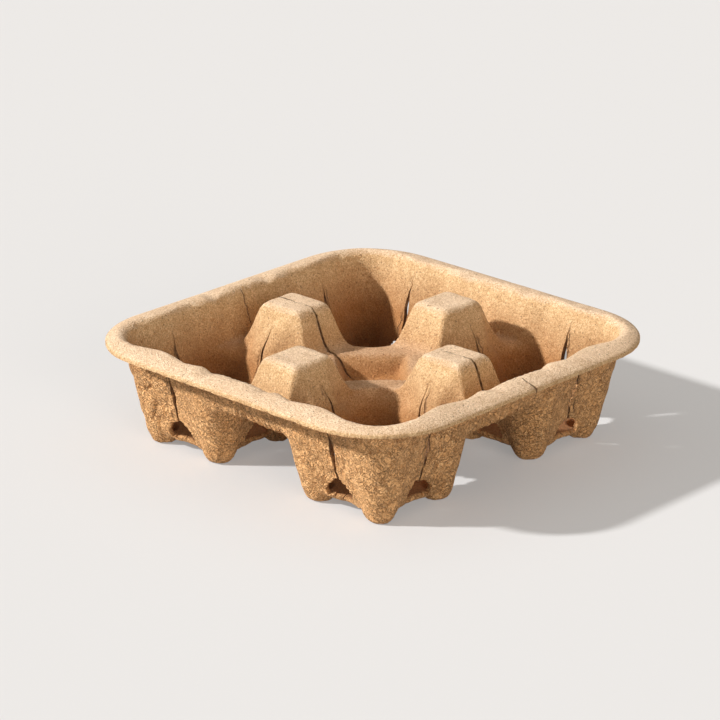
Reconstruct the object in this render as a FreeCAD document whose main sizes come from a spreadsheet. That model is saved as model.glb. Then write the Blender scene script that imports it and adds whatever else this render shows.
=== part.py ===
import FreeCAD, Part
import os

# Four-cup carrier tray of moulded paper pulp, one piece, in millimetres.
# The origin is at the middle of the tray, on the surface that the feet stand on, and +Z is up.
# The tray is one sheet of even thickness. It is built as everything that lies above its outer
# side, less everything that lies above its inner side, and both are made from the same forms.

NODE = "cup_carrier"

doc = FreeCAD.newDocument(NODE)
sheet = doc.addObject("Spreadsheet::Sheet", "sizes")

SIZES = (
    ("tray_side", 195, "outer length and width over the rim"),
    ("wall", 2.2, "thickness of the pulp"),
    ("rim_corner", 38, "corner radius of the rim's outer edge"),
    ("rim_width", 13.6, "width of the rolled rim at the middle of a side"),
    ("rim_edge_height", 50, "height of the rim's outer edge"),
    ("rim_rise", 3, "rise of the rim from its outer edge to its crest"),
    ("rim_roll", 1.9, "rise of the rim's first, steeper part"),
    ("rim_roll_width", 4.2, "width of the rim's first, steeper part"),
    ("rim_lip", 1.1, "depth of the lip under the rim's outer edge"),
    ("mouth_corner", 15, "corner radius of the rim's crest"),
    ("deck_height", 34.7, "height of the deck between the cups"),
    ("side_draft", 5.2, "how much further in a side stands at the deck than at the crest"),
    ("pocket_reach", 37, "cup pocket, from its middle to the wall of a leg at the crest"),
    ("pocket_bulge", 2.4, "how much further out a leg reaches than the side at the crest"),
    ("leg_reach", 17.9, "leg axis from the middle of the pocket, along X and along Y"),
    ("foot_pad", 4, "radius of a foot's flat bottom"),
    ("foot_height", 5, "height of the rounded foot"),
    ("leg_foot", 8, "radius of a leg at the top of its foot"),
    ("leg_neck", 16.2, "inner radius of a leg where the flare starts"),
    ("flare_depth", 3.2, "depth of the flare under the crest"),
    ("floor_height", 6.2, "height of the pocket floor between the legs"),
    ("floor_reach", 20.6, "pocket floor, from its middle to its wall between two legs"),
    ("fold_reach", 30.6, "pocket wall between two legs, at the knee of the fold"),
    ("fold_knee", 45, "height of the knee of the fold"),
    ("slit_foot", 17, "height of the lower end of a slit"),
    ("slit_top", 46, "height of the upper end of a slit"),
    ("slit_width", 2.2, "width of a slit at its lower end"),
    ("slit_tip", 0.6, "width of a slit at its upper end"),
    ("arch_width", 13, "width of the arch between two feet, at the pocket floor"),
    ("arch_top_width", 7, "width of the arch at its top"),
    ("arch_height", 7.6, "height of the arch over the pocket floor"),
    ("peak_height", 54, "height of a peak's flat top"),
    ("peak_length", 23, "peak top, towards the middle of the tray"),
    ("peak_width", 20, "peak top, from cup to cup"),
    ("peak_base", 40, "peak base, towards the middle of the tray"),
    ("peak_round", 3.4, "radius of a peak's edges"),
    ("dish_reach", 22, "corner of the middle dish from the middle, at the deck"),
    ("dish_floor_reach", 16, "corner of the middle dish from the middle, at its floor"),
    ("dish_depth", 9.7, "depth of the middle dish under the deck"),
)

for row, (alias, value, meaning) in enumerate(SIZES, start=1):
    sheet.set(f"A{row}", meaning)
    sheet.set(f"B{row}", str(value))
    sheet.setAlias(f"B{row}", alias)
doc.recompute()

# Places that follow from the sizes, as expressions.
CREST = "(sizes.rim_edge_height + sizes.rim_rise)"
ABOVE = f"({CREST} + sizes.wall * 2)"
UNDER_CREST = f"({CREST} - sizes.wall / 2)"
SIDE = "(sizes.tray_side / 2 - sizes.rim_width)"
SIDE_AT_DECK = f"({SIDE} - sizes.side_draft)"
POCKET = f"({SIDE} - sizes.pocket_reach + sizes.pocket_bulge)"
LEG_CREST = "(sizes.pocket_reach - sizes.leg_reach)"
FLARE = f"({CREST} - sizes.flare_depth)"


def between(low, high, low_height, high_height, height):
    """A size that runs evenly from low to high, read at a height."""
    return f"({low} + ({high} - {low}) * ({height} - {low_height}) / ({high_height} - {low_height}))"


def bind(thing, **expressions):
    """Tie properties of an object to the sheet; two underscores stand for a dot."""
    for name, expression in expressions.items():
        thing.setExpression(name.replace("__", "."), expression)
    return thing


def frustum(name, low, high, low_half, high_half, middle=("0", "0"), turn=0):
    """A four-sided form that tapers from low_half at the height low to high_half at high."""
    form = doc.addObject("Part::Wedge", name)
    upright = FreeCAD.Rotation(FreeCAD.Vector(1, 0, 0), 90)
    form.Placement.Rotation = FreeCAD.Rotation(FreeCAD.Vector(0, 0, 1), turn) * upright
    bind(form, Placement__Base__x=middle[0], Placement__Base__y=middle[1], Ymin=low, Ymax=high)
    bind(form, Xmin=f"-{low_half[0]}", Xmax=low_half[0], Zmin=f"-{low_half[1]}", Zmax=low_half[1])
    bind(form, X2min=f"-{high_half[0]}", X2max=high_half[0])
    bind(form, Z2min=f"-{high_half[1]}", Z2max=high_half[1])
    return form


def cone(name, low, high, low_radius, high_radius, middle):
    """A round form that tapers from low_radius at the height low to high_radius at high."""
    form = doc.addObject("Part::Cone", name)
    bind(form, Placement__Base__x=middle[0], Placement__Base__y=middle[1], Placement__Base__z=low)
    bind(form, Radius1=low_radius, Radius2=high_radius, Height=f"{high} - {low}")
    return form


def fuse(name, forms):
    form = doc.addObject("Part::MultiFuse", name)
    form.Shapes = forms
    return form


def cut(name, base, tool):
    form = doc.addObject("Part::Cut", name)
    form.Base = base
    form.Tool = tool
    return form


def mirrored(form, name, normal):
    """The same form on the other side of the plane through the origin."""
    twin = doc.addObject("Part::Mirroring", name)
    twin.Source = form
    twin.Normal = normal
    return twin


def in_all_corners(name, form):
    """The form of one corner, with its three mirror images."""
    left = mirrored(form, name + "_left", FreeCAD.Vector(1, 0, 0))
    front = mirrored(form, name + "_front", FreeCAD.Vector(0, 1, 0))
    opposite = mirrored(left, name + "_opposite", FreeCAD.Vector(0, 1, 0))
    return [form, left, front, opposite]


# The cup pocket. Its four legs are round and taper to a small flat foot, and they flare at the
# crest. Between the legs the wall folds inwards and is flat.
def pocket(name, grow, foot, floor, top):
    """One pocket's form, grown sideways, from the heights of its feet and its floor to the top."""
    shoulder = f"(sizes.foot_height + {foot} / 2)"
    legs = []
    for number, (side_x, side_y) in enumerate(((1, 1), (1, -1), (-1, -1), (-1, 1))):
        middle = [f"{POCKET} + {side} * sizes.leg_reach" for side in (side_x, side_y)]
        leg = f"{name}_leg_{number}"
        radius_foot = f"(sizes.leg_foot - sizes.wall + {grow})"
        radius_neck = f"(sizes.leg_neck + {grow})"
        radius_crest = f"({LEG_CREST} + {grow})"
        radius_top = between(radius_neck, radius_crest, FLARE, CREST, top)
        radius_pad = f"(sizes.foot_pad - sizes.wall / 2 + {grow} / 2)"
        legs.append(cone(leg + "_foot", foot, shoulder, radius_pad, radius_foot, middle))
        legs.append(cone(leg, shoulder, FLARE, radius_foot, radius_neck, middle))
        legs.append(cone(leg + "_flare", FLARE, top, radius_neck, radius_top, middle))
    floor_half = f"(sizes.floor_reach + {grow})"
    knee_half = f"(sizes.fold_reach + {grow})"
    crest_half = f"(sizes.pocket_reach - sizes.pocket_bulge + {grow})"
    top_half = between(knee_half, crest_half, "sizes.fold_knee", CREST, top)
    at = (POCKET, POCKET)
    folds = []
    for stage, low, high, low_half, high_half in (
        ("_fold", floor, "sizes.fold_knee", floor_half, knee_half),
        ("_fold_top", "sizes.fold_knee", top, knee_half, top_half),
    ):
        folds.append(frustum(
            name + stage + "_x", low, high, (low_half, "sizes.leg_reach"), (high_half, "sizes.leg_reach"), at))
        folds.append(frustum(
            name + stage + "_y", low, high, ("sizes.leg_reach", low_half), ("sizes.leg_reach", high_half), at))
    return fuse(name, legs + folds)


pockets_outer = in_all_corners(
    "pocket_outer", pocket("pocket_outer", "sizes.wall", "0", "(sizes.floor_height - sizes.wall)", UNDER_CREST))
pockets_inner = in_all_corners(
    "pocket_inner", pocket("pocket_inner", "0", "sizes.wall", "sizes.floor_height", ABOVE))


# The sides of the tray between the pockets. They close in from the crest to the deck, and the
# deck crosses the tray from side to side along X and along Y.
def channels(name, grow, bottom, top):
    reach = [
        between(f"({SIDE_AT_DECK} + {grow})", f"({SIDE} + {grow})", "sizes.deck_height", CREST, height)
        for height in (bottom, top)
    ]
    half_width = f"({POCKET} - sizes.leg_reach)"
    along_x = frustum(name + "_along_x", bottom, top, (reach[0], half_width), (reach[1], half_width))
    along_y = frustum(name + "_along_y", bottom, top, (half_width, reach[0]), (half_width, reach[1]))
    return [along_x, along_y]


channels_outer = channels("channel_outer", "sizes.wall", "(sizes.deck_height - sizes.wall)", UNDER_CREST)
channels_inner = channels("channel_inner", "0", "sizes.deck_height", ABOVE)


# The four peaks between the pockets, each a hollow block with rounded edges, open from below.
def peak_half(height, grow):
    """Half of a peak's length and of its width at a height."""
    base_width = f"({POCKET} - " + between(
        "sizes.floor_reach", "sizes.fold_reach", "sizes.floor_height", "sizes.fold_knee", "sizes.deck_height") + ")"
    lengths = ("sizes.peak_base / 2", "sizes.peak_length / 2")
    widths = (base_width, "sizes.peak_width / 2")
    halves = [
        between(low, high, "sizes.deck_height", "sizes.peak_height", height)
        for low, high in (lengths, widths)
    ]
    return [f"({half} + {grow})" for half in halves]


def peak(name, side_x, side_y, bottom, top, grow):
    low = peak_half(bottom, grow)
    high = peak_half(top, grow)
    if side_x == 0:
        low.reverse()
        high.reverse()
    return frustum(name, bottom, top, low, high, (f"{side_x} * {POCKET}", f"{side_y} * {POCKET}"))


def rounded(block, name, radius):
    """The same form with all its edges rounded but those of its foot."""
    doc.recompute()
    form = doc.addObject("Part::Fillet", name)
    form.Base = block
    foot = block.Shape.BoundBox.ZMin + radius
    form.Edges = [
        (number, radius, radius)
        for number, edge in enumerate(block.Shape.Edges, start=1) if edge.BoundBox.ZMax > foot
    ]
    return form


peaks = []
peak_hollows = []
peak_bottom = "(sizes.deck_height - sizes.wall * 2)"
hollow_bottom = f"({peak_bottom} - sizes.wall)"
hollow_top = "(sizes.peak_height - sizes.wall)"
for place, side_x, side_y in (("right", 1, 0), ("back", 0, 1), ("left", -1, 0), ("front", 0, -1)):
    block = peak("peak_block_" + place, side_x, side_y, peak_bottom, "sizes.peak_height", "0")
    peaks.append(rounded(block, "peak_" + place, sheet.get("peak_round")))
    peak_hollows.append(peak("peak_hollow_" + place, side_x, side_y, hollow_bottom, hollow_top, "-sizes.wall"))


# The dish in the middle of the deck, a square turned so that its corners point at the peaks.
def dish(name, grow, bottom, top):
    floor_height = "(sizes.deck_height - sizes.dish_depth)"
    halves = [
        "(" + between("sizes.dish_floor_reach", "sizes.dish_reach", floor_height, "sizes.deck_height", height)
        + f" / sqrt(2) + {grow})"
        for height in (bottom, top)
    ]
    return frustum(name, bottom, top, [halves[0]] * 2, [halves[1]] * 2, turn=45)


dish_floor = "(sizes.deck_height - sizes.dish_depth)"
dish_outer = dish("dish_outer", "sizes.wall", f"({dish_floor} - sizes.wall)", "(sizes.deck_height - sizes.wall / 2)")
dish_inner = dish("dish_inner", "0", dish_floor, "(sizes.deck_height + sizes.wall)")


# The rolled rim. It slopes down from its crest to its outer edge and is hollow underneath.
def rounded_square(name, half, corner, height):
    """A flat square with round corners: a smaller square grown by the corner radius."""
    core = doc.addObject("Part::Plane", name + "_core")
    side = f"2 * ({half} - {corner})"
    start = f"-({half} - {corner})"
    bind(core, Length=side, Width=side)
    bind(core, Placement__Base__x=start, Placement__Base__y=start, Placement__Base__z=height)
    outline = doc.addObject("Part::Offset2D", name)
    outline.Source = core
    bind(outline, Value=corner)
    return outline


def rim_form(name, drop, lip):
    """The rim's form, lowered by drop; with a lip, its side goes down past the outer edge."""
    outer = "(sizes.tray_side / 2)"
    roll = "(sizes.tray_side / 2 - sizes.rim_roll_width)"
    crest = f"({SIDE} - sizes.wall)"
    edge_height = "sizes.rim_edge_height"
    outlines = [
        (outer, "sizes.rim_corner", edge_height),
        (roll, "(sizes.rim_corner - sizes.rim_roll_width)", f"({edge_height} + sizes.rim_roll)"),
        (crest, "sizes.mouth_corner", CREST),
    ]
    if lip:
        outlines.insert(0, (outer, "sizes.rim_corner", f"({edge_height} - sizes.rim_lip)"))
    form = doc.addObject("Part::Loft", name)
    form.Sections = [
        rounded_square(f"{name}_{number}", half, corner, f"{height} - {drop}")
        for number, (half, corner, height) in enumerate(outlines)
    ]
    form.Solid = True
    form.Ruled = True
    return form


rim = cut("rim", rim_form("rim_top", "0", True), rim_form("rim_underside", "sizes.wall", False))

# Openings through the wall: a slit in each fold, wider towards its foot, and under it an arch
# between the feet. One cutter runs through a whole pocket and makes the two that face each other.
slit_reach = f"({POCKET} - sizes.peak_width / 2)"
arch_reach = "(sizes.leg_reach + sizes.leg_foot + sizes.wall)"
arch_bottom = "sizes.floor_height"
arch_top = "(sizes.floor_height + sizes.arch_height)"
cutters = []
for across in (False, True):
    direction = "y" if across else "x"
    slit_low = [slit_reach, "(sizes.slit_width / 2)"]
    slit_high = [slit_reach, "(sizes.slit_tip / 2)"]
    arch_low = [arch_reach, "(sizes.arch_width / 2)"]
    arch_high = [arch_reach, "(sizes.arch_top_width / 2)"]
    if across:
        for pair in (slit_low, slit_high, arch_low, arch_high):
            pair.reverse()
    at = (POCKET, POCKET)
    cutters.append(frustum("slit_" + direction, "sizes.slit_foot", "sizes.slit_top", slit_low, slit_high, at))
    cutters.append(frustum("arch_" + direction, arch_bottom, arch_top, arch_low, arch_high, at))
openings = in_all_corners("opening", fuse("opening", cutters))

# The finished tray.
upper_outer = cut("upper_outer", fuse("channels_and_peaks", channels_outer + peaks), fuse("hollows", peak_hollows))
outer_form = fuse("outer_form", [upper_outer, dish_outer, rim] + pockets_outer)
upper_inner = cut("upper_inner", fuse("channels_inner", channels_inner), fuse("peaks", peaks))
inner_form = fuse("inner_form", [upper_inner, dish_inner] + pockets_inner)
shell = cut("shell", outer_form, inner_form)
tray = cut("tray", shell, fuse("openings", openings))
tray.Label = NODE
doc.recompute()

for thing in doc.Objects:
    if "Invalid" in thing.State or "Error" in thing.State:
        raise RuntimeError(f"{thing.Name} could not be made: {thing.State}")
if tray.Shape.isNull() or not tray.Shape.isValid():
    raise RuntimeError("the tray's shape is not valid")

os.makedirs("parts", exist_ok=True)
tray.Shape.exportStep(f"parts/{NODE}.step")
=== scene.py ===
import math
import bpy
import numpy as np
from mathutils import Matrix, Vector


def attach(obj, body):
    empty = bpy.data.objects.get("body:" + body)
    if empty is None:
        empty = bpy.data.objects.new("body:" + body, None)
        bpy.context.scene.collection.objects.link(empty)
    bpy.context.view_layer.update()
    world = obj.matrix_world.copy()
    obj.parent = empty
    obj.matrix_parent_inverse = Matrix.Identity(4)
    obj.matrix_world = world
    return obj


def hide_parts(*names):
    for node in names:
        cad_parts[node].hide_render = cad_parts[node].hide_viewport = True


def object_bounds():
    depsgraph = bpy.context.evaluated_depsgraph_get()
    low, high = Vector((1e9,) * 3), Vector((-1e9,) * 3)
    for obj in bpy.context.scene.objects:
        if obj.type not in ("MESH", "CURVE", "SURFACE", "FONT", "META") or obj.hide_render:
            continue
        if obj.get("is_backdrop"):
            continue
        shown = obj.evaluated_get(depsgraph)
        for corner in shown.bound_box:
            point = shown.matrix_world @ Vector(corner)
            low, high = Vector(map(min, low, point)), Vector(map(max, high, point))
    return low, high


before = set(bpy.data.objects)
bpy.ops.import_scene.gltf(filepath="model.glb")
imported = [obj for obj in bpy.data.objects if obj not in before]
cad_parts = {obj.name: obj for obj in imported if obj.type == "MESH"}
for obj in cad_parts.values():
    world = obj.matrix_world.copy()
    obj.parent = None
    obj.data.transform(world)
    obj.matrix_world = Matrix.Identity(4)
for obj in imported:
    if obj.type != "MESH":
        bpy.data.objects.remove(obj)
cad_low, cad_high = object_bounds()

# The moulded sheet: its form.
# A drinks carrier pressed in one go from wet paper pulp on a wire mould, then dried. Its inner
# side is smooth from the mould, its outer side is rough. Lengths here are in millimetres.
MM = 0.001
HALF = (cad_high.x - cad_low.x) / 2 / MM
WALL = 2.2
# the deck, the tray's sides and the rim
DECK = 34.7
SADDLE_START = 56.0
SADDLE_RUN = 8.0
SADDLE_DROP = 3.0
SADDLE_HALF_WIDTH = 24.0
SADDLE_FADE = 8.0
SIDE_AT_DECK = 78.7
SIDE_AT_CREST = 83.3
SIDE_FOOT_ROUNDING = 5.0
OFF_BAR_RISE = 6.0
RIM_CORNER = 40.5
RIM_WIDTH = 13.6
RIM_EDGE = 50.0
RIM_ROLL = 2.2
RIM_ROUNDING = 4.0
RIM_ROUNDING_AT_SADDLE = 12.0
CREST = 53.0
CAP_CLEARANCE = 3.0
CAP_RISE = 3.0
EDGE_DROP = 0.6
EDGE_ROUNDING = 0.5
# the pockets: four round legs in each, and the recesses that they cut into the peaks
POCKET = 49.3
POCKET_MOUTH_ROUNDING = 5.0
LEG_REACH = 17.9
LEG_FOOT_HEIGHT = 6.1
LEG_FOOT_RADIUS = 5.8
LEG_FOOT_ROUNDING = 6.0
LEG_NECK_HEIGHT = 49.8
LEG_NECK_RADIUS = 16.2
FLARE_RISE = 1.1
FLARE_ROUNDING = 3.0
RECESS_LOW = (10.5, 26.0)
RECESS_DECK = (17.3, 34.7)
RECESS_TOP = (22.3, 54.0)
RECESS_SQUASH = 1.37
RECESS_BEND_ROUNDING = 2.5
RECESS_ROUNDING = 2.0
# the pockets: the floor and the bars of wall between the legs
FLOOR = 6.2
FLOOR_REACH = 20.6
FLOOR_ROUNDING = 5.0
KNEE = 45.0
KNEE_REACH = 30.6
KNEE_TO_CREST = 4.0
KNEE_ROUNDING = 3.0
CREASE_DEPTH = 0.14
CREASE_BLUNTNESS = 1.5
LEG_TO_BAR_ROUNDING = 4.0
# the peaks between the pockets, and the dish in the middle
PEAK_TOP = cad_high.z / MM
PEAK_LENGTH = 23.0
PEAK_BASE_LENGTH = 40.0
PEAK_WIDTH = 20.0
PEAK_BASE_WIDTH = 42.0
PEAK_EDGE_ROUNDING = 6.0
PEAK_TOP_ROUNDING = 4.0
PEAK_FOOT_ROUNDING = 7.0
DISH_REACH = 22.0
DISH_FLOOR_REACH = 16.0
DISH_FLOOR = 25.0
DISH_CORNER = 1.0
DISH_FLOOR_ROUNDING = 3.0
DISH_EDGE_ROUNDING = 4.0

NOISE_CELLS = 32
lattice = np.random.default_rng(11).random((NOISE_CELLS,) * 3) * 2 - 1


def soft_noise(points, size, layer):
    """Random values from -1 to 1 on a cubic lattice of the given size, blended smoothly between.

    Each layer starts elsewhere on the lattice, so that no two layers look alike."""
    place = points / size + 5.31 * (layer + 1)
    cell = np.floor(place).astype(int)
    part = place - cell
    part = part * part * (3 - 2 * part)
    total = np.zeros(len(points))
    for corner in np.ndindex(2, 2, 2):
        index = (cell + corner) % NOISE_CELLS
        weight = np.prod(np.where(corner, part, 1 - part), axis=1)
        total += weight * lattice[index[:, 0], index[:, 1], index[:, 2]]
    return total


def layered_noise(points, layers):
    """The sum of soft noises, each given by its height, size and layer."""
    return sum(height * soft_noise(points, size, layer) for height, size, layer in layers)


def smooth_min(a, b, rounding):
    """The lower of two heights, rounded off where they are closer than the rounding."""
    overlap = np.maximum(rounding - np.abs(a - b), 0)
    return np.minimum(a, b) - overlap ** 2 / (4 * rounding)


def smooth_max(a, b, rounding):
    """The higher of two heights, rounded off where they are closer than the rounding."""
    return -smooth_min(-a, -b, rounding)


def slope(distance, near, near_height, far, far_height):
    """A height that runs evenly from near_height at near to far_height at far, and on."""
    return near_height + (distance - near) * (far_height - near_height) / (far - near)


def pocket_height(x, y):
    """Height of a cup pocket's inner side: the lowest of four round legs and two crossed bars.

    A leg is a cone with a rounded foot and a flare at the crest; toward the peaks it opens out
    from the deck up. A bar is the wall between two legs, with a crease down its middle; its
    slope changes at the knee."""
    u = np.abs(np.abs(x) - POCKET)
    v = np.abs(np.abs(y) - POCKET)
    u_in = np.abs(x) < POCKET
    v_in = np.abs(y) < POCKET
    from_recess = np.hypot((u - LEG_REACH) * np.where(u_in, 1, RECESS_SQUASH),
                           (v - LEG_REACH) * np.where(v_in, 1, RECESS_SQUASH))
    recess = smooth_max(slope(from_recess, *RECESS_LOW, *RECESS_DECK),
                        slope(from_recess, *RECESS_DECK, *RECESS_TOP), RECESS_BEND_ROUNDING)
    toward_peak = (u_in & (u > LEG_REACH)) | (v_in & (v > LEG_REACH)) | (u_in & v_in)
    from_leg = np.hypot(u - LEG_REACH, v - LEG_REACH)
    leg = slope(from_leg, LEG_FOOT_RADIUS, LEG_FOOT_HEIGHT, LEG_NECK_RADIUS, LEG_NECK_HEIGHT)
    flare = LEG_NECK_HEIGHT + (from_leg - LEG_NECK_RADIUS) * FLARE_RISE
    leg = smooth_min(leg, flare, FLARE_ROUNDING)
    leg = smooth_max(leg, WALL, LEG_FOOT_ROUNDING)
    leg = np.where(toward_peak, smooth_min(leg, recess, RECESS_ROUNDING), leg)
    bars = []
    for along, across in ((u, v), (v, u)):
        crease = CREASE_DEPTH * (np.hypot(across, CREASE_BLUNTNESS) - CREASE_BLUNTNESS)
        reach = along - crease
        bar = slope(reach, FLOOR_REACH, FLOOR, KNEE_REACH, KNEE)
        above_knee = slope(reach, KNEE_REACH, KNEE, KNEE_REACH + KNEE_TO_CREST, CREST)
        bar = smooth_min(bar, above_knee, KNEE_ROUNDING)
        bar = smooth_max(bar, FLOOR, FLOOR_ROUNDING)
        bars.append(bar + OFF_BAR_RISE * np.maximum(across - LEG_REACH, 0))
    return smooth_min(leg, np.minimum(*bars), LEG_TO_BAR_ROUNDING)


def deck_height(x, y):
    """Height of the deck and of the tray's sides, as a cross of two level bars with sloped ends.

    A bar sinks a little before its ends, at the saddles in the middle of the tray's sides."""
    bars = []
    for along, across in ((np.abs(x), np.abs(y)), (np.abs(y), np.abs(x))):
        deck = DECK - SADDLE_DROP * np.clip((along - SADDLE_START) / SADDLE_RUN, 0, 1)
        side = slope(along, SIDE_AT_DECK, DECK, SIDE_AT_CREST, CREST)
        side = smooth_max(side, deck, SIDE_FOOT_ROUNDING)
        bars.append(side + OFF_BAR_RISE * np.maximum(across - (POCKET - LEG_REACH), 0))
    return np.minimum(*bars)


def peak_height(x, y):
    """Height of the four peaks: four sloped flanks under a level top, all edges rounded."""
    peaks = []
    for along, across in ((np.abs(x), np.abs(y)), (np.abs(y), np.abs(x))):
        ends = slope(np.abs(along - POCKET), PEAK_LENGTH / 2, PEAK_TOP, PEAK_BASE_LENGTH / 2, DECK)
        sides = slope(across, PEAK_WIDTH / 2, PEAK_TOP, PEAK_BASE_WIDTH / 2, DECK)
        flanks = smooth_min(ends, sides, PEAK_EDGE_ROUNDING)
        peaks.append(smooth_min(PEAK_TOP, flanks, PEAK_TOP_ROUNDING))
    return np.maximum(*peaks)


def inward(x, y):
    """Distance inwards from the tray's outline, a square with round corners."""
    over_x = np.abs(x) - (HALF - RIM_CORNER)
    over_y = np.abs(y) - (HALF - RIM_CORNER)
    outside = np.hypot(np.maximum(over_x, 0), np.maximum(over_y, 0))
    return RIM_CORNER - outside - np.minimum(np.maximum(over_x, over_y), 0)


def mould_height(x, y):
    """Height of the sheet's upper side over the whole tray.

    The deck is raised by the peaks, lowered by the pockets and the middle dish, and capped by the
    rim, which is highest at its crest and rolls down to its outer edge. The rim's inner bend is
    wider at the saddles than at the pockets."""
    height = smooth_max(deck_height(x, y), peak_height(x, y), PEAK_FOOT_ROUNDING)
    height = smooth_min(height, pocket_height(x, y), POCKET_MOUTH_ROUNDING)
    from_middle = np.hypot(x, DISH_CORNER) + np.hypot(y, DISH_CORNER) - DISH_CORNER
    dish = slope(from_middle, DISH_FLOOR_REACH, DISH_FLOOR, DISH_REACH, DECK)
    dish = smooth_max(dish, DISH_FLOOR, DISH_FLOOR_ROUNDING)
    height = smooth_min(height, dish, DISH_EDGE_ROUNDING)
    from_edge = inward(x, y)
    roll = np.maximum(1 - from_edge / RIM_WIDTH, 0)
    edge = EDGE_DROP * np.exp(-from_edge / EDGE_ROUNDING)
    rim = CREST - (CREST - RIM_EDGE) * roll ** RIM_ROLL - edge
    rim = rim + CAP_RISE * np.maximum(from_edge - RIM_WIDTH - CAP_CLEARANCE, 0)
    from_saddle = np.minimum(np.abs(x), np.abs(y))
    saddle = np.clip((SADDLE_HALF_WIDTH - from_saddle) / SADDLE_FADE, 0, 1)
    saddle = saddle * saddle * (3 - 2 * saddle)
    return smooth_min(height, rim, RIM_ROUNDING + RIM_ROUNDING_AT_SADDLE * saddle)


# The moulded sheet: its grid.
# Each pocket has a grid of rays from its middle out to the tray's outline and middle lines. The
# rings on a ray are even along the surface, closer in its bends, wider on the pocket's floor.
RINGS = 74
TURN_LENGTH = 3.5
POLE_RADIUS = 12.0
POLE_SHARE = 0.3
RAY_STEPS = (24, 44, 24, 20, 16, 16, 20)
AXIS_SQUEEZE = 0.3
FINE_STEPS = 700
HALVINGS = 50
EVENING_ROUNDS = 8
NEAR_NOTHING = 1e-9


def ray_angles():
    """Angles of the rays, with one on each axis and each corner, closer together at the axes."""
    quarter = math.pi / 2
    corner = math.atan2(HALF - POCKET, -POCKET)
    marks = [quarter - corner, 0, quarter, corner, 2 * quarter, math.pi * 5 / 4, math.pi * 3 / 2]
    marks.append(marks[0] + 2 * math.pi)
    on_axis = [round(mark / quarter, 6) == round(mark / quarter) for mark in marks]
    stretches = []
    for number, steps in enumerate(RAY_STEPS):
        part = np.arange(steps) / steps
        squeeze_low = AXIS_SQUEEZE if on_axis[number] else 0.0
        squeeze_high = AXIS_SQUEEZE if on_axis[number + 1] else 0.0
        part = part - squeeze_low * part * (1 - part) ** 2 + squeeze_high * part ** 2 * (1 - part)
        stretches.append(marks[number] + (marks[number + 1] - marks[number]) * part)
    return np.concatenate(stretches + [marks[-1:]])


def ray_lengths(angles):
    """Length of each ray, to the nearest of the tray's two middle lines and its outline.

    The outline is found by halving the stretch that it lies in, over and over."""
    direction_x, direction_y = np.cos(angles), np.sin(angles)
    to_middle = np.minimum(*[
        np.where(direction < -NEAR_NOTHING, POCKET / np.maximum(-direction, NEAR_NOTHING), np.inf)
        for direction in (direction_x, direction_y)])
    low = np.zeros(len(angles))
    high = np.full(len(angles), 2 * HALF)
    for _ in range(HALVINGS):
        middle = (low + high) / 2
        inside = inward(POCKET + middle * direction_x, POCKET + middle * direction_y) > 0
        low, high = np.where(inside, middle, low), np.where(inside, high, middle)
    return np.minimum(low, to_middle)


def ring_distances(angles, lengths):
    """Distance of each ring from the pocket's middle, on each ray.

    The way along the surface is measured in fine steps, each longer by the turn that it makes,
    and cut into equal parts. Then each ray's rings are evened out with its neighbours'."""
    steps = np.linspace(0, 1, FINE_STEPS)
    distance = lengths[:, None] * steps
    x = POCKET + distance * np.cos(angles)[:, None]
    y = POCKET + distance * np.sin(angles)[:, None]
    height = mould_height(x, y)
    run = np.hypot(np.diff(distance, axis=1), np.diff(height, axis=1))
    centre = (distance[:, 1:] + distance[:, :-1]) / 2
    run = run * np.where(centre < POLE_RADIUS, POLE_SHARE, 1.0)
    tilt = np.arctan2(np.diff(height, axis=1), np.diff(distance, axis=1) + NEAR_NOTHING)
    run[:, 1:] += TURN_LENGTH * np.abs(np.diff(tilt, axis=1))
    walked = np.concatenate([np.zeros((len(angles), 1)), np.cumsum(run, axis=1)], axis=1)
    share = np.empty((len(angles), RINGS + 1))
    for ray in range(len(angles)):
        share[ray] = np.interp(np.linspace(0, walked[ray, -1], RINGS + 1), walked[ray], steps)
    for _ in range(EVENING_ROUNDS):
        inner = share[:-1]
        beside = (np.roll(inner, 1, axis=0) + np.roll(inner, -1, axis=0)) / 2
        share = np.concatenate([(inner + beside) / 2, share[-1:]])
        share[-1] = share[0]
    return share * lengths[:, None]


angles = ray_angles()
distances = ring_distances(angles, ray_lengths(angles))

# The moulded sheet: its openings.
# Where two legs meet, the pulp is pinched and splits into a slit, and under it an arch with a
# ragged edge opens between the feet. A tear runs along the tray's middle line, over two peaks.
SLIT_LOW = 6.25
SLIT_OPEN = 15.0
SLIT_HIGH = 49.5
SLIT_TAPER = 22.0
SLIT_WIDTH = 1.0
SLIT_MARGIN = 2.0
SLIT_EASE = 3.0
SLIT_GAPE = 1.5
GAPE_HEIGHT = 31.0
GAPE_SPREAD = 5.0
WOBBLES = ((0.9, 9.0, 6), (0.3, 2.5, 7))  # height, size and layer, as for all the noises below
WOBBLE_PLACES = (9.7, 3.1)
WOBBLE_START = 6.0
WOBBLE_RISE = 4.0
WOBBLE_FALL = 5.0
WOBBLE_EASE = 5.0
ARCH_SILL = 7.2
ARCH_TOP = 16.6
ARCH_CURVE = 0.085
ARCH_HALF_WIDTH = 8.2
ARCH_ROUGHNESS = ((1.1, 2.4, 8),)
TEARS = ((-40.5, -11.0, 1.1), (58.0, 72.0, 1.0))  # from x, to x, width
TEAR_EASE = 2.5
TEAR_ZONE = 8.0
TEAR_WANDER = ((0.8, 5.0, 7),)
WANDER_EASE = 4.0
THINNEST_GAP = 0.06
FULL_GAP = 0.7
ON_LINE = 1e-6
slit_sizes = np.random.default_rng(5).uniform(0.75, 1.25, 16)


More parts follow.
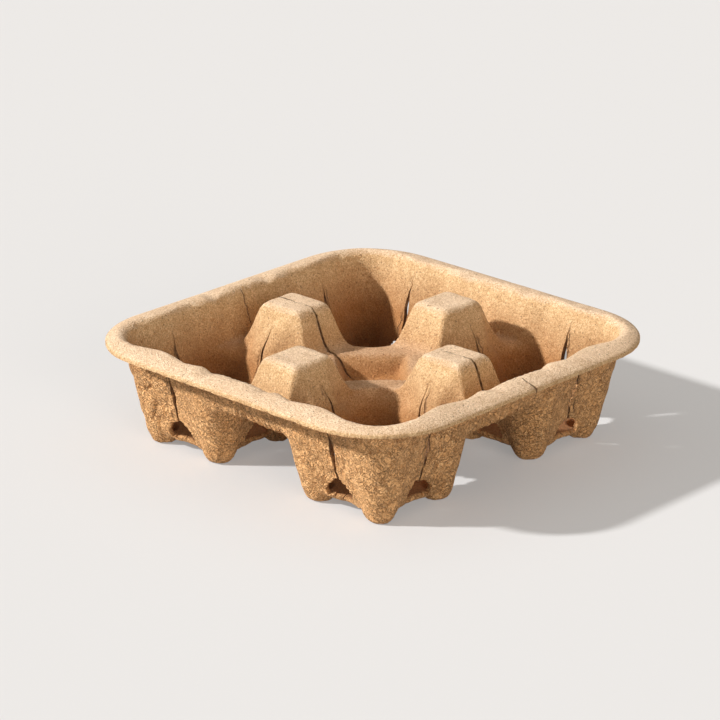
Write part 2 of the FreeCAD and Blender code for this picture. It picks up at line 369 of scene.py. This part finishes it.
def slit_width(height, size, gape):
    """Width of a slit: none at its two ends, and a wider gape partway up where there is one."""
    open_low = np.clip((height - SLIT_LOW) / (SLIT_OPEN - SLIT_LOW), 0, 1)
    open_high = np.clip((SLIT_HIGH - height) / SLIT_TAPER, 0, 1)
    bulge = SLIT_GAPE * gape * np.exp(-((height - GAPE_HEIGHT) / GAPE_SPREAD) ** 2)
    return size * (SLIT_WIDTH * open_low ** 0.5 * open_high + bulge) * (height > SLIT_LOW)


def slit_shift(across, along, height, toward, which):
    """How far a slit moves the sheet sideways across its bar, and the slit's width.

    Each flank moves by half the width, less and less away from the bar's middle, and both
    follow a slow wobble. Which is the slit's number, and toward the flank of points on it."""
    flank = np.where(np.abs(across) < ON_LINE, toward, np.sign(across))
    reaches = ((np.abs(along) > FLOOR_REACH - SLIT_MARGIN)
               & (np.abs(along) < KNEE_REACH + KNEE_TO_CREST))
    width = slit_width(height, slit_sizes[which], along > 0) * reaches
    width = np.where(width < THINNEST_GAP, 0, width)
    place = np.stack([WOBBLE_PLACES[0] * which, WOBBLE_PLACES[1] * which, height], axis=1)
    fade_high = np.clip((SLIT_HIGH - height) / WOBBLE_FALL, 0, 1)
    fade_low = np.clip((height - WOBBLE_START) / WOBBLE_RISE, 0, 1)
    wobble = layered_noise(place, WOBBLES) * fade_high * fade_low
    gap = flank * width / 2 * np.exp(-np.abs(across) / SLIT_EASE)
    return gap + wobble * reaches * np.exp(-(across / WOBBLE_EASE) ** 2), width


def tear_shift(x, y, side_y):
    """How far the tear on the tray's middle line moves the sheet along y, and its width.

    Each side moves by half the width, less and less away from the line, and both wander."""
    width = np.zeros_like(x)
    for start, end, widest in TEARS:
        part = np.clip((x - start) / (end - start), 0, 1)
        width = width + widest * np.sin(np.pi * part) ** 0.5
    width = np.where(width < THINNEST_GAP, 0, width)
    place = np.stack([x, x * 0, x * 0], axis=1)
    wander = layered_noise(place, TEAR_WANDER) * np.minimum(width, 1)
    gap = side_y * width / 2 * np.exp(-np.abs(y) / TEAR_EASE)
    return gap + wander * np.exp(-(y / WANDER_EASE) ** 2), width


def arch_level(across, height, ragged):
    """Above zero inside the arch between two feet, with a ragged edge."""
    under_top = ARCH_TOP - ARCH_CURVE * across ** 2 + ragged - height
    off_sides = ARCH_HALF_WIDTH - np.abs(across) + ragged
    return np.minimum(np.minimum(height - ARCH_SILL, under_top), off_sides)


# The moulded sheet: its two sides.
# The upper side lay on the mould and is smooth. The lower side dried against air: it is lumpy,
# wrinkled and creased, and lies one wall below the upper side.
NORMAL_STEP = 0.15
WAVES = ((0.40, 24.0, 1), (0.16, 8.0, 2))
WAVE_FREE_EDGE = 6.0
WAVE_FREE_FOOT = 3.0
WAVE_RISE = 4.0
TOP_BAND = 1.5
TOP_SINK = 0.25
LUMPS = ((0.28, 6.0, 3),)
WRINKLES = ((0.26, 2.4, 4),)
WRINKLE_STRETCH = np.array([1.0, 1.0, 0.5])
CREASE_DEEP = 0.9
CREASE_LINES = ((1.0, 5.0, 5),)
CREASE_STRETCH = np.array([1.0, 1.0, 0.6])
CREASE_SHARPNESS = 0.10
CREASE_PATCHES = ((1.0, 13.0, 10),)
CREASED_SHARE = 0.3
SMOOTHEST = 0.3
ROUGH_FROM_EDGE = 2.0
EDGE_THICKENING = 0.8
EDGE_THICKENING_REACH = 1.5


def upper_normals(x, y):
    """Upward unit normals of the smooth form, from its height a short step to each side."""
    step = NORMAL_STEP
    rise_x = (mould_height(x + step, y) - mould_height(x - step, y)) / (2 * step)
    rise_y = (mould_height(x, y + step) - mould_height(x, y - step)) / (2 * step)
    normals = np.stack([-rise_x, -rise_y, np.ones_like(x)], axis=1)
    return normals / np.linalg.norm(normals, axis=1)[:, None]


def upper_side(x, y, normals):
    """Points of the upper side: the smooth form plus slow waves from drying, along its normals.

    The waves die out at the outline and the feet, and never lift the tops of the peaks."""
    height = mould_height(x, y)
    points = np.stack([x, y, height], axis=1)
    wave = layered_noise(points, WAVES)
    fade = (np.clip(inward(x, y) / WAVE_FREE_EDGE, 0, 1)
            * np.clip((height - WAVE_FREE_FOOT) / WAVE_RISE, 0, 1))
    sink = -TOP_SINK * np.clip((height - PEAK_TOP + TOP_BAND) / TOP_BAND, 0, 1)
    highest = np.where(height > PEAK_TOP - TOP_BAND, 0, np.inf)
    wave = np.minimum(wave * fade + sink, highest)
    return points + normals * (wave * (fade > 0))[:, None]


def rough_depth(points):
    """How far the rough lower side stands out or in: lumps, upright wrinkles and sharp creases.

    A crease runs wherever an upright noise passes through zero, and only in some patches."""
    bumps = layered_noise(points, LUMPS) + layered_noise(points * WRINKLE_STRETCH, WRINKLES)
    off_crease = layered_noise(points * CREASE_STRETCH, CREASE_LINES)
    creases = np.exp(-(off_crease / CREASE_SHARPNESS) ** 2)
    creases = creases * np.clip(layered_noise(points, CREASE_PATCHES) + CREASED_SHARE, 0, 1)
    return bumps - CREASE_DEEP * creases


def both_sides(x, y):
    """Points of the upper side, and of the lower side one rough wall along the normals below.

    The lower side is thicker at the outline and flat where it stands on the table."""
    normals = upper_normals(x, y)
    upper = upper_side(x, y, normals)
    lower = upper - normals * WALL
    rough = rough_depth(lower) * np.clip(inward(x, y) / ROUGH_FROM_EDGE, SMOOTHEST, 1)
    lower = lower - normals * rough[:, None]
    lower[:, 2] -= EDGE_THICKENING * np.exp(-inward(x, y) / EDGE_THICKENING_REACH)
    lower[:, 2] = np.maximum(lower[:, 2], 0)
    return upper, lower


# The moulded sheet: its faces.
# The grid's cells give both sides two triangles each. Strips from side to side close the sheet
# along the arches, the slits, the tear and the rim's outer edge.
LIP_LEVELS = (48.9, 48.3)
LIP_ROUGHNESS = ((0.2, 1.6, 9),)
DIAGONAL_LEAD = 1.05
NEVER = 1e6


def triangles(quads, other):
    """Each quad split in two, from its first to its third corner or else the other way."""
    one = np.where(other[:, None], quads[:, [0, 1, 3]], quads[:, [0, 1, 2]])
    two = np.where(other[:, None], quads[:, [1, 2, 3]], quads[:, [0, 2, 3]])
    return np.concatenate([one, two])


def diagonal_error(x, y, height, start, end, left, right):
    """How far the middle of a cell's diagonal from start to end lies off the smooth form.

    It is huge where the cell's left and right corners aren't on both sides of the diagonal."""
    form = mould_height((x[start] + x[end]) / 2, (y[start] + y[end]) / 2)
    error = np.abs((height[start] + height[end]) / 2 - form)
    turns = []
    for corner in (left, right):
        turns.append((x[end] - x[start]) * (y[corner] - y[start])
                     - (y[end] - y[start]) * (x[corner] - x[start]))
    return np.where(turns[0] * turns[1] < 0, error, NEVER)


def strip(start, end, offset):
    """Quads from edges of the upper side to the same edges of the lower side, offset further on."""
    return np.stack([start, end, end + offset, start + offset], axis=-1)


def opening_strips(index, kept, offset, slit, tear, on_line):
    """Strips along the arches, where a kept cell meets one that isn't, the slits and the tear.

    A slit lies on the first or last ray of the grid, the tear on its last ring."""
    strips = []
    start, end = index[1:-1, :-1], index[1:-1, 1:]
    kept_first, kept_next = kept[:-1] & ~kept[1:], kept[1:] & ~kept[:-1]
    strips.append(strip(start[kept_first], end[kept_first], offset))
    strips.append(strip(end[kept_next], start[kept_next], offset))
    start, end = index[:-1, 1:-1], index[1:, 1:-1]
    kept_first, kept_next = kept[:, :-1] & ~kept[:, 1:], kept[:, 1:] & ~kept[:, :-1]
    strips.append(strip(end[kept_first], start[kept_first], offset))
    strips.append(strip(start[kept_next], end[kept_next], offset))
    for ray in (0, -1):
        opened = (slit[ray, :-1] | slit[ray, 1:]) & kept[ray]
        start, end = index[ray, :-1][opened], index[ray, 1:][opened]
        strips.append(strip(start, end, offset) if ray else strip(end, start, offset))
    opened = (tear[:-1, -1] | tear[1:, -1]) & on_line[:-1, -1] & on_line[1:, -1] & kept[:, -1]
    strips.append(strip(index[1:, -1][opened], index[:-1, -1][opened], offset))
    return strips


def rim_strips(outline, index, offset, count):
    """Three strips down the rim's outer edge, over two lines of points that start at count."""
    edge = outline[:-1] & outline[1:]
    rays = len(outline)
    first_line = count + np.arange(rays)
    levels = [index[:, -1], first_line, first_line + rays, index[:, -1] + offset]
    strips = []
    for high, low in zip(levels[:-1], levels[1:]):
        strips.append(np.stack([high[1:], high[:-1], low[:-1], low[1:]], axis=-1)[edge])
    return strips


def sheet_patch(side_x, side_y, first, last):
    """Vertices and faces of the stretch of one pocket's grid between two of its rays.

    With them come two values for each vertex: how far it is on the outer side, and how far it
    is on the edge of a slit or tear."""
    rays = np.arange(first, last + 1) % (len(angles) - 1)
    u = distances[rays] * np.cos(angles[rays])[:, None]
    v = distances[rays] * np.sin(angles[rays])[:, None]
    shape = u.shape
    u, v = u.ravel(), v.ravel()
    x = side_x * (POCKET + u)
    y = side_y * (POCKET + v)
    smooth_height = mould_height(x, y)
    upper, lower = both_sides(x, y)

    across_v = np.abs(v) < np.abs(u)
    across = np.where(across_v, v, u)
    along = np.where(across_v, u, v)
    middle_angle = angles[first] + math.pi / 4
    toward = np.where(across_v, math.copysign(1, math.sin(middle_angle)),
                      math.copysign(1, math.cos(middle_angle)))
    which = (side_x > 0) * 8 + (side_y > 0) * 4 + across_v * 2 + (along > 0)
    apart, slit = slit_shift(across, along, smooth_height, toward, which)
    torn_apart, tear = tear_shift(x, y, side_y)
    move_x = np.where(across_v, 0, apart * side_x)
    move_y = (np.where(across_v, apart * side_y, 0)
              + np.where(np.abs(v) > POCKET - TEAR_ZONE, torn_apart, 0))
    for points in (upper, lower):
        points[:, 0] += move_x
        points[:, 1] += move_y
    split = (np.clip(slit / FULL_GAP, 0, 1) * (np.abs(across) < ON_LINE)
             + np.clip(tear / FULL_GAP, 0, 1) * (np.abs(y) < ON_LINE))

    ragged = layered_noise(upper, ARCH_ROUGHNESS)
    level = arch_level(across, smooth_height, ragged).reshape(shape)
    kept = (level[1:, 1:] + level[1:, :-1] + level[:-1, 1:] + level[:-1, :-1]) / 4 < 0
    index = np.arange(len(upper)).reshape(shape)
    offset = len(upper)
    a, b = index[:-1, :-1][kept], index[1:, :-1][kept]
    c, d = index[1:, 1:][kept], index[:-1, 1:][kept]
    other = (diagonal_error(x, y, smooth_height, b, d, a, c) * DIAGONAL_LEAD
             < diagonal_error(x, y, smooth_height, a, c, b, d))
    top_faces = triangles(np.stack([a, d, c, b], axis=-1), other)
    on_line = (np.abs(v + POCKET) < ON_LINE).reshape(shape)
    strips = opening_strips(index, kept, offset, (slit > 0).reshape(shape),
                            (tear > 0).reshape(shape), on_line)

    outline = inward(x, y).reshape(shape)[:, -1] < 1e-3
    strips += rim_strips(outline, index, offset, 2 * offset)
    lips = []
    for height in LIP_LEVELS:
        lip = upper[index[:, -1]].copy()
        lip[:, 2] = height + layered_noise(lip, LIP_ROUGHNESS)
        lips.append(lip)
    strips = np.concatenate(strips)
    faces = np.concatenate([top_faces, top_faces[:, ::-1] + offset,
                            triangles(strips, np.zeros(len(strips), bool))])
    if side_x * side_y < 0:
        faces = faces[:, ::-1]
    outer = np.concatenate([np.zeros(offset), np.ones(offset),
                            np.zeros(shape[0]), np.full(shape[0], 0.5)])
    split = np.concatenate([split, split, np.zeros(2 * shape[0])])
    return np.concatenate([upper, lower] + lips), faces, outer, split


# The moulded sheet: its mesh.
# All patches of the four pockets, joined where their edges meet. Two values on the mesh tell
# the finish where the outer side and the edges of the slits and tears are.
WELD = 0.00001
SHARP_ANGLE = 55

axis_rays = [ray for ray, angle in enumerate(angles[:-1]) if abs(angle / (math.pi / 2) % 1) < 1e-9]
axis_rays.append(axis_rays[0] + len(angles) - 1)
patches = []
total = 0
for side_x in (1, -1):
    for side_y in (1, -1):
        for first, last in zip(axis_rays[:-1], axis_rays[1:]):
            vertices, faces, outer, split = sheet_patch(side_x, side_y, first, last)
            patches.append((vertices * MM, faces + total, outer, split))
            total += len(vertices)
vertices, faces, outer, split = [np.concatenate(parts) for parts in zip(*patches)]

places = np.round(vertices / WELD).astype(np.int64)
_, first_use, group = np.unique(places, axis=0, return_index=True, return_inverse=True)
faces = group.ravel()[faces]
faces = faces[(faces != np.roll(faces, 1, axis=1)).all(axis=1)]
mesh = bpy.data.meshes.new("cup_carrier_pulp")
mesh.from_pydata(vertices[first_use].tolist(), [], faces.tolist())
mesh.update()
mesh.shade_smooth()
mesh.set_sharp_from_angle(angle=math.radians(SHARP_ANGLE))
for name, values in (("outer", outer), ("split", split)):
    attribute = mesh.attributes.new(name, "FLOAT", "POINT")
    attribute.data.foreach_set("value", values[first_use].astype(np.float32))
carrier = bpy.data.objects.new("cup_carrier_pulp", mesh)
bpy.context.scene.collection.objects.link(carrier)
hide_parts("cup_carrier")
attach(carrier, "root")

# The moulded sheet: its finish.
# Unbleached recycled paper pulp: matt, warm brown, matted from short pale and dark fibres with
# dark flecks. The outer side is redder and creased. Light is painted in too: upward-facing
# surfaces are painted paler as a painted highlight, the pockets get painted shade that darkens
# further down, and the creases get painted shade with painted highlights on their lips.
PULP = (0.665, 0.43, 0.22, 1)
# Painted highlight: the paler colour that upward-facing surfaces get, for the sky light and sheen
# on them.
PULP_PAINTED_TOP_LIGHT = (0.785, 0.565, 0.37, 1)
# Painted shade: the darker colour down inside the pockets.
PULP_PAINTED_POCKET_SHADE = (0.42, 0.19, 0.065, 1)
# Painted shade: the darkest colour, at the bottoms of the pockets.
PULP_PAINTED_BOTTOM_SHADE = (0.20, 0.085, 0.03, 1)
PULP_OUTER = (0.85, 0.465, 0.195, 1)
FLECK = (0.13, 0.055, 0.02, 1)
FIBRE_TINT = 0.20
CALM_FIBRES = 0.6
# Painted highlight on the creases' lips and painted shade in the creases, as their strength in the
# colour.
LIP_PAINTED_HIGHLIGHT = 0.26
CREASE_PAINTED_SHADE = 0.42
DARKEST_STROKE = 0.2
GRAIN_TINT = (0.82, 1.16)
TINT_POWERS = (0.85, 1.15, 1.5)
FLECK_STRENGTH = 0.5
CRACK_STRENGTH = 0.85
FIBRE_RELIEF = 0.22
LIP_RELIEF = 1.2
CREASE_RELIEF = 1.9
CRACK_RELIEF = 2.0
RELIEF_STRENGTH = 0.9
RELIEF_HEIGHT = 0.0004

pulp = bpy.data.materials.new("moulded_pulp")
pulp.use_nodes = True
nodes = pulp.node_tree.nodes
links = pulp.node_tree.links
nodes.clear()
output = nodes.new("ShaderNodeOutputMaterial")
shader = nodes.new("ShaderNodeBsdfPrincipled")
links.new(shader.outputs[0], output.inputs[0])
shader.inputs["Roughness"].default_value = 0.8
shader.inputs["Specular IOR Level"].default_value = 0.3
shader.inputs["Sheen Weight"].default_value = 0.06
shader.inputs["Sheen Roughness"].default_value = 0.4
shader.inputs["Sheen Tint"].default_value = (1, 0.93, 0.84, 1)
mesh.materials.append(pulp)


def connect(value, socket):
    """Links a node's output to a socket, or sets the socket to a plain value."""
    if isinstance(value, (int, float, tuple)):
        socket.default_value = value
    else:
        links.new(value, socket)


def painted(name):
    """The value of the given name that the mesh carries."""
    node = nodes.new("ShaderNodeAttribute")
    node.attribute_name = name
    return node.outputs["Fac"]


def noise(per_metre, detail, roughness, distortion=0.0):
    """Cloudy noise from about 0.3 to 0.7, with the given number of lumps in a metre."""
    node = nodes.new("ShaderNodeTexNoise")
    for name, value in (("Scale", per_metre), ("Detail", detail), ("Roughness", roughness),
                        ("Distortion", distortion), ("Vector", on_object)):
        connect(value, node.inputs[name])
    return node.outputs["Fac"]


def spread(value, low, high, new_low=0.0, new_high=1.0):
    """A value from low to high, spread over new_low to new_high and held there."""
    node = nodes.new("ShaderNodeMapRange")
    for socket, number in zip(node.inputs, (value, low, high, new_low, new_high)):
        connect(number, socket)
    return node.outputs[0]


def maths(operation, *values):
    """One sum of a maths node."""
    node = nodes.new("ShaderNodeMath")
    node.operation = operation
    for socket, value in zip(node.inputs, values):
        connect(value, socket)
    return node.outputs[0]


def product(*values):
    """All the values multiplied with each other."""
    total = values[0]
    for value in values[1:]:
        total = maths("MULTIPLY", total, value)
    return total


def blend(factor, first, second, mode="MIX"):
    """Two colours mixed in the given way."""
    node = nodes.new("ShaderNodeMix")
    node.data_type = "RGBA"
    node.blend_type = mode
    colour_sockets = [socket for socket in node.inputs if socket.type == "RGBA"]
    connect(factor, node.inputs[0])
    connect(first, colour_sockets[0])
    connect(second, colour_sockets[1])
    return [socket for socket in node.outputs if socket.type == "RGBA"][0]


def near(value, full, none):
    """One where the value is within full of zero, nothing where it is past none."""
    return spread(maths("ABSOLUTE", value), full, none, 1.0, 0.0)


def line(value, level, width):
    """Thin crooked lines, one wherever the value passes through the level."""
    return near(maths("SUBTRACT", value, level), 0.0, width)


on_object = nodes.new("ShaderNodeTexCoord").outputs["Object"]
outer_side = painted("outer")
axes = nodes.new("ShaderNodeSeparateXYZ")
connect(on_object, axes.inputs[0])
x_mm, y_mm, z_mm = [maths("MULTIPLY", axis, 1000) for axis in axes.outputs]

# Fibres, in two sizes and two shades.
grain = noise(1500, 1, 0.5)
cloud = spread(noise(130, 2, 0.6), 0.35, 0.65, 0.93, 1.06)
long_fibres = noise(430, 1, 0.5, 0.5)
short_fibres = noise(720, 1, 0.5, 0.6)
pale = maths("MAXIMUM", line(long_fibres, 0.55, 0.05), line(short_fibres, 0.56, 0.07))
dark = maths("MAXIMUM", line(long_fibres, 0.47, 0.045), line(short_fibres, 0.45, 0.06))
fibres = maths("SUBTRACT", pale, dark)

# Creases of the outer side, in two sizes, with a raised lip along one edge.
long_folds = noise(250, 1, 0.5, 0.9)
short_folds = noise(470, 1, 0.5, 0.7)
creases = maths("MAXIMUM", line(long_folds, 0.5, 0.045), line(short_folds, 0.45, 0.055))
lips = maths("MAXIMUM", line(long_folds, 0.545, 0.045), line(short_folds, 0.505, 0.05))
creased = product(outer_side, spread(noise(150, 1, 0.5), 0.35, 0.55, 0.5, 1.0))

# Flecks: small round spots, each of its own size, most of them too small to see.
spots = nodes.new("ShaderNodeTexVoronoi")
connect(520.0, spots.inputs["Scale"])
connect(on_object, spots.inputs["Vector"])
spot_size = spread(noise(700, 1, 0.5), 0.4, 0.7, 0.0, 0.3)
flecks = maths("LESS_THAN", spots.outputs["Distance"], spot_size)

# A second crack beside each slit, which leaves the slit's line further down. It is drawn on the
# bars alone: between two heights, and between two distances from the pocket's middle.
jitter = maths("MULTIPLY", maths("SUBTRACT", noise(260, 2, 0.6), 0.5), 5)
from_x = maths("SUBTRACT", maths("ABSOLUTE", x_mm), POCKET)
from_y = maths("SUBTRACT", maths("ABSOLUTE", y_mm), POCKET)
far_x, far_y = maths("ABSOLUTE", from_x), maths("ABSOLUTE", from_y)
on_x = maths("LESS_THAN", far_x, far_y)
off_bar = maths("ADD", product(from_x, on_x), product(from_y, maths("SUBTRACT", 1.0, on_x)))
from_middle = maths("MAXIMUM", far_x, far_y)
drift = maths("ADD", 0.7, maths("MULTIPLY", maths("SUBTRACT", 47.0, z_mm), 0.085))
second_cracks = near(maths("SUBTRACT", maths("ADD", off_bar, jitter), drift), 0.15, 0.55)
for value, low, high, at_low, at_high in (
        (z_mm, 15, 20, 0, 1), (z_mm, 43, 46, 1, 0),
        (from_middle, 19, 21, 0, 1), (from_middle, 33, 34, 1, 0)):
    second_cracks = product(second_cracks, spread(value, low, high, at_low, at_high))
second_cracks = product(second_cracks, spread(noise(60, 1, 0.5), 0.40, 0.55, 0.1, 1.0), 0.8)

# The hairline crack along the tray's middle, in stretches of different strength from each x on.
stretches = nodes.new("ShaderNodeValToRGB")
stretches.color_ramp.interpolation = "CONSTANT"
connect(spread(x_mm, -HALF, HALF), stretches.inputs[0])
for start, strength in (
        (-93, 0.0), (-86, 0.8), (-79, 0.0), (-60, 0.95), (-52, 0.45), (-46, 0.15), (-43, 0.7),
        (-40, 0.0), (40, 0.2), (44, 0.8), (50, 0.3), (54, 0.75), (60, 0.0), (89, 0.9)):
    stop = stretches.color_ramp.elements.new((start + HALF) / (2 * HALF))
    stop.color = (strength, strength, strength, 1)
middle_crack = near(maths("ADD", y_mm, maths("MULTIPLY", jitter, 0.6)), 0.15, 0.5)
middle_crack = product(middle_crack, stretches.outputs[0], maths("GREATER_THAN", z_mm, 36.0))

slit_edges = product(maths("POWER", painted("split"), 3.0),
                     spread(noise(300, 2, 0.6), 0.35, 0.55, 0.35, 1.0))
cracks = maths("MAXIMUM", slit_edges, maths("MAXIMUM", second_cracks, middle_crack))

# The colour: paler where the sheet faces up, a painted highlight; painted shade darker down
# the pockets and darkest at their bottoms; and another colour outside.
turned = nodes.new("ShaderNodeSeparateXYZ")
connect(nodes.new("ShaderNodeNewGeometry").outputs["Normal"], turned.inputs[0])
# Painted highlight: upward-facing surfaces are made paler, judged from the normal.
level = spread(turned.outputs[2], 0.55, 0.95)
# Painted shade: the pockets' inner side is made darker further down, judged from the height.
painted_pocket_shade = spread(z_mm, 48, 26)
colour = blend(level, PULP, PULP_PAINTED_TOP_LIGHT)
colour = blend(painted_pocket_shade, colour, PULP_PAINTED_POCKET_SHADE)
# Painted shade: darker still at the pockets' bottoms.
colour = blend(spread(z_mm, 22, 10, 0.0, 0.75), colour, PULP_PAINTED_BOTTOM_SHADE)
colour = blend(outer_side, colour, PULP_OUTER)

# Strokes lighten or darken the colour, and blue more than red, so that dark ones are warmer. The
# crease strokes of the outer side are painted shade, and the lips beside them painted highlights.
calm = product(maths("MAXIMUM", level, painted_pocket_shade), maths("SUBTRACT", 1.0, outer_side))
fibre_tint = product(fibres, FIBRE_TINT, spread(calm, 0, 1, 1.0, CALM_FIBRES))
# Painted shade in the creases, and painted highlights along their lips.
fold_painted_light = maths("SUBTRACT", product(lips, LIP_PAINTED_HIGHLIGHT), product(creases, CREASE_PAINTED_SHADE))
tint = maths("ADD", maths("ADD", fibre_tint, product(fold_painted_light, creased)), 1.0)
tint = maths("MAXIMUM", tint, DARKEST_STROKE)
tint = product(tint, cloud, spread(grain, 0.38, 0.62, *GRAIN_TINT))
tint_colour = nodes.new("ShaderNodeCombineColor")
for socket, power in zip(tint_colour.inputs, TINT_POWERS):
    connect(maths("POWER", tint, power), socket)
colour = blend(1.0, colour, tint_colour.outputs[0], "MULTIPLY")
colour = blend(product(flecks, FLECK_STRENGTH), colour, FLECK)
colour = blend(product(cracks, CRACK_STRENGTH), colour, FLECK)
connect(colour, shader.inputs["Base Color"])

# The relief: grain, fibres, the creases with their lips, and the cracks.
folds = maths("SUBTRACT", product(lips, LIP_RELIEF), product(creases, CREASE_RELIEF))
relief = maths("ADD", grain, product(fibres, FIBRE_RELIEF))
relief = maths("ADD", relief, product(folds, creased))
relief = maths("SUBTRACT", relief, product(cracks, CRACK_RELIEF))
bump = nodes.new("ShaderNodeBump")
connect(RELIEF_STRENGTH, bump.inputs["Strength"])
connect(RELIEF_HEIGHT, bump.inputs["Distance"])
connect(relief, bump.inputs["Height"])
connect(bump.outputs["Normal"], shader.inputs["Normal"])

# The stage: the floor.
# A pale matt sheet of paper. For each socket it has one value for the light that it throws on
# the tray, and one for how it looks itself, seen straight, mirrored or through glass.
FLOOR_SPAN = 6.0
FLOOR_LOOKS = (("Emission Strength", 0.05, 0.26), ("Base Color", 0.38, 0.48))

floor_mesh = bpy.data.meshes.new("floor")
floor_corners = [(x * FLOOR_SPAN, y * FLOOR_SPAN, 0)
                 for x, y in ((-1, -1), (1, -1), (1, 1), (-1, 1))]
floor_mesh.from_pydata(floor_corners, [], [(0, 1, 2, 3)])
floor = bpy.data.objects.new("floor", floor_mesh)
bpy.context.scene.collection.objects.link(floor)
paper = bpy.data.materials.new("pale_floor")
paper.use_nodes = True
paper_tree = paper.node_tree
paper_shader = paper_tree.nodes["Principled BSDF"]
paper_shader.inputs["Roughness"].default_value = 0.9
paper_shader.inputs["Emission Color"].default_value = (1.0, 0.98, 0.965, 1)
light_path = paper_tree.nodes.new("ShaderNodeLightPath")
seen = light_path.outputs["Is Camera Ray"]
for ray in ("Is Glossy Ray", "Is Transmission Ray"):
    either = paper_tree.nodes.new("ShaderNodeMath")
    either.operation = "MAXIMUM"
    paper_tree.links.new(seen, either.inputs[0])
    paper_tree.links.new(light_path.outputs[ray], either.inputs[1])
    seen = either.outputs[0]
for name, unseen_value, seen_value in FLOOR_LOOKS:
    look = paper_tree.nodes.new("ShaderNodeMapRange")
    look.inputs["To Min"].default_value = unseen_value
    look.inputs["To Max"].default_value = seen_value
    paper_tree.links.new(seen, look.inputs["Value"])
    paper_tree.links.new(look.outputs[0], paper_shader.inputs[name])
floor_mesh.materials.append(paper)
floor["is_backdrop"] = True

# The stage: the light and the camera.
# A low sun from the left of the view, a soft fill from the right and a wide soft light from
# above, under a faint warm sky. The camera stands at the photograph's place.
SKY_COLOUR = (1.0, 0.95, 0.90, 1)
SKY_STRENGTH = 0.14
SUN_COLOUR = (1.0, 0.985, 0.97)
SOFT_COLOUR = (1.0, 0.92, 0.83)
LAMPS = (  # name, colour, strength, width, tilt from overhead and turn in degrees
    ("sun", SUN_COLOUR, 4.6, 3.5, 58, -39.0355),
    ("fill", SOFT_COLOUR, 1.05, 30, 74, 68),
    ("overhead", SOFT_COLOUR, 0.62, 100, 0, 68))
CAMERA_PLACE = (0.9605, -1.0234, 0.5692)
CAMERA_YAW = 43.425
CAMERA_DIP = 20.732
FOCAL_PIXELS = 3303.4
IMAGE_PIXELS = 720
SENSOR = 36.0

world = bpy.data.worlds.new("studio")
bpy.context.scene.world = world
world.use_nodes = True
sky = world.node_tree.nodes["Background"]
sky.inputs["Color"].default_value = SKY_COLOUR
sky.inputs["Strength"].default_value = SKY_STRENGTH

for name, colour, energy, width, tilt, turn in LAMPS:
    lamp_data = bpy.data.lights.new(name, "SUN")
    lamp_data.color = colour
    lamp_data.energy = energy
    lamp_data.angle = math.radians(width)
    lamp = bpy.data.objects.new(name, lamp_data)
    lamp.rotation_euler = (math.radians(tilt), 0, math.radians(turn))
    bpy.context.scene.collection.objects.link(lamp)

camera_data = bpy.data.cameras.new("camera")
camera_data.sensor_width = SENSOR
camera_data.lens = SENSOR * FOCAL_PIXELS / IMAGE_PIXELS
camera_data.clip_start = 0.05
camera_data.clip_end = 50
camera = bpy.data.objects.new("camera", camera_data)
camera.location = CAMERA_PLACE
camera.rotation_euler = (math.radians(90 - CAMERA_DIP), 0, math.radians(CAMERA_YAW))
bpy.context.scene.collection.objects.link(camera)
bpy.context.scene.camera = camera
bpy.context.scene.view_settings.view_transform = "Standard"

low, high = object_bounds()
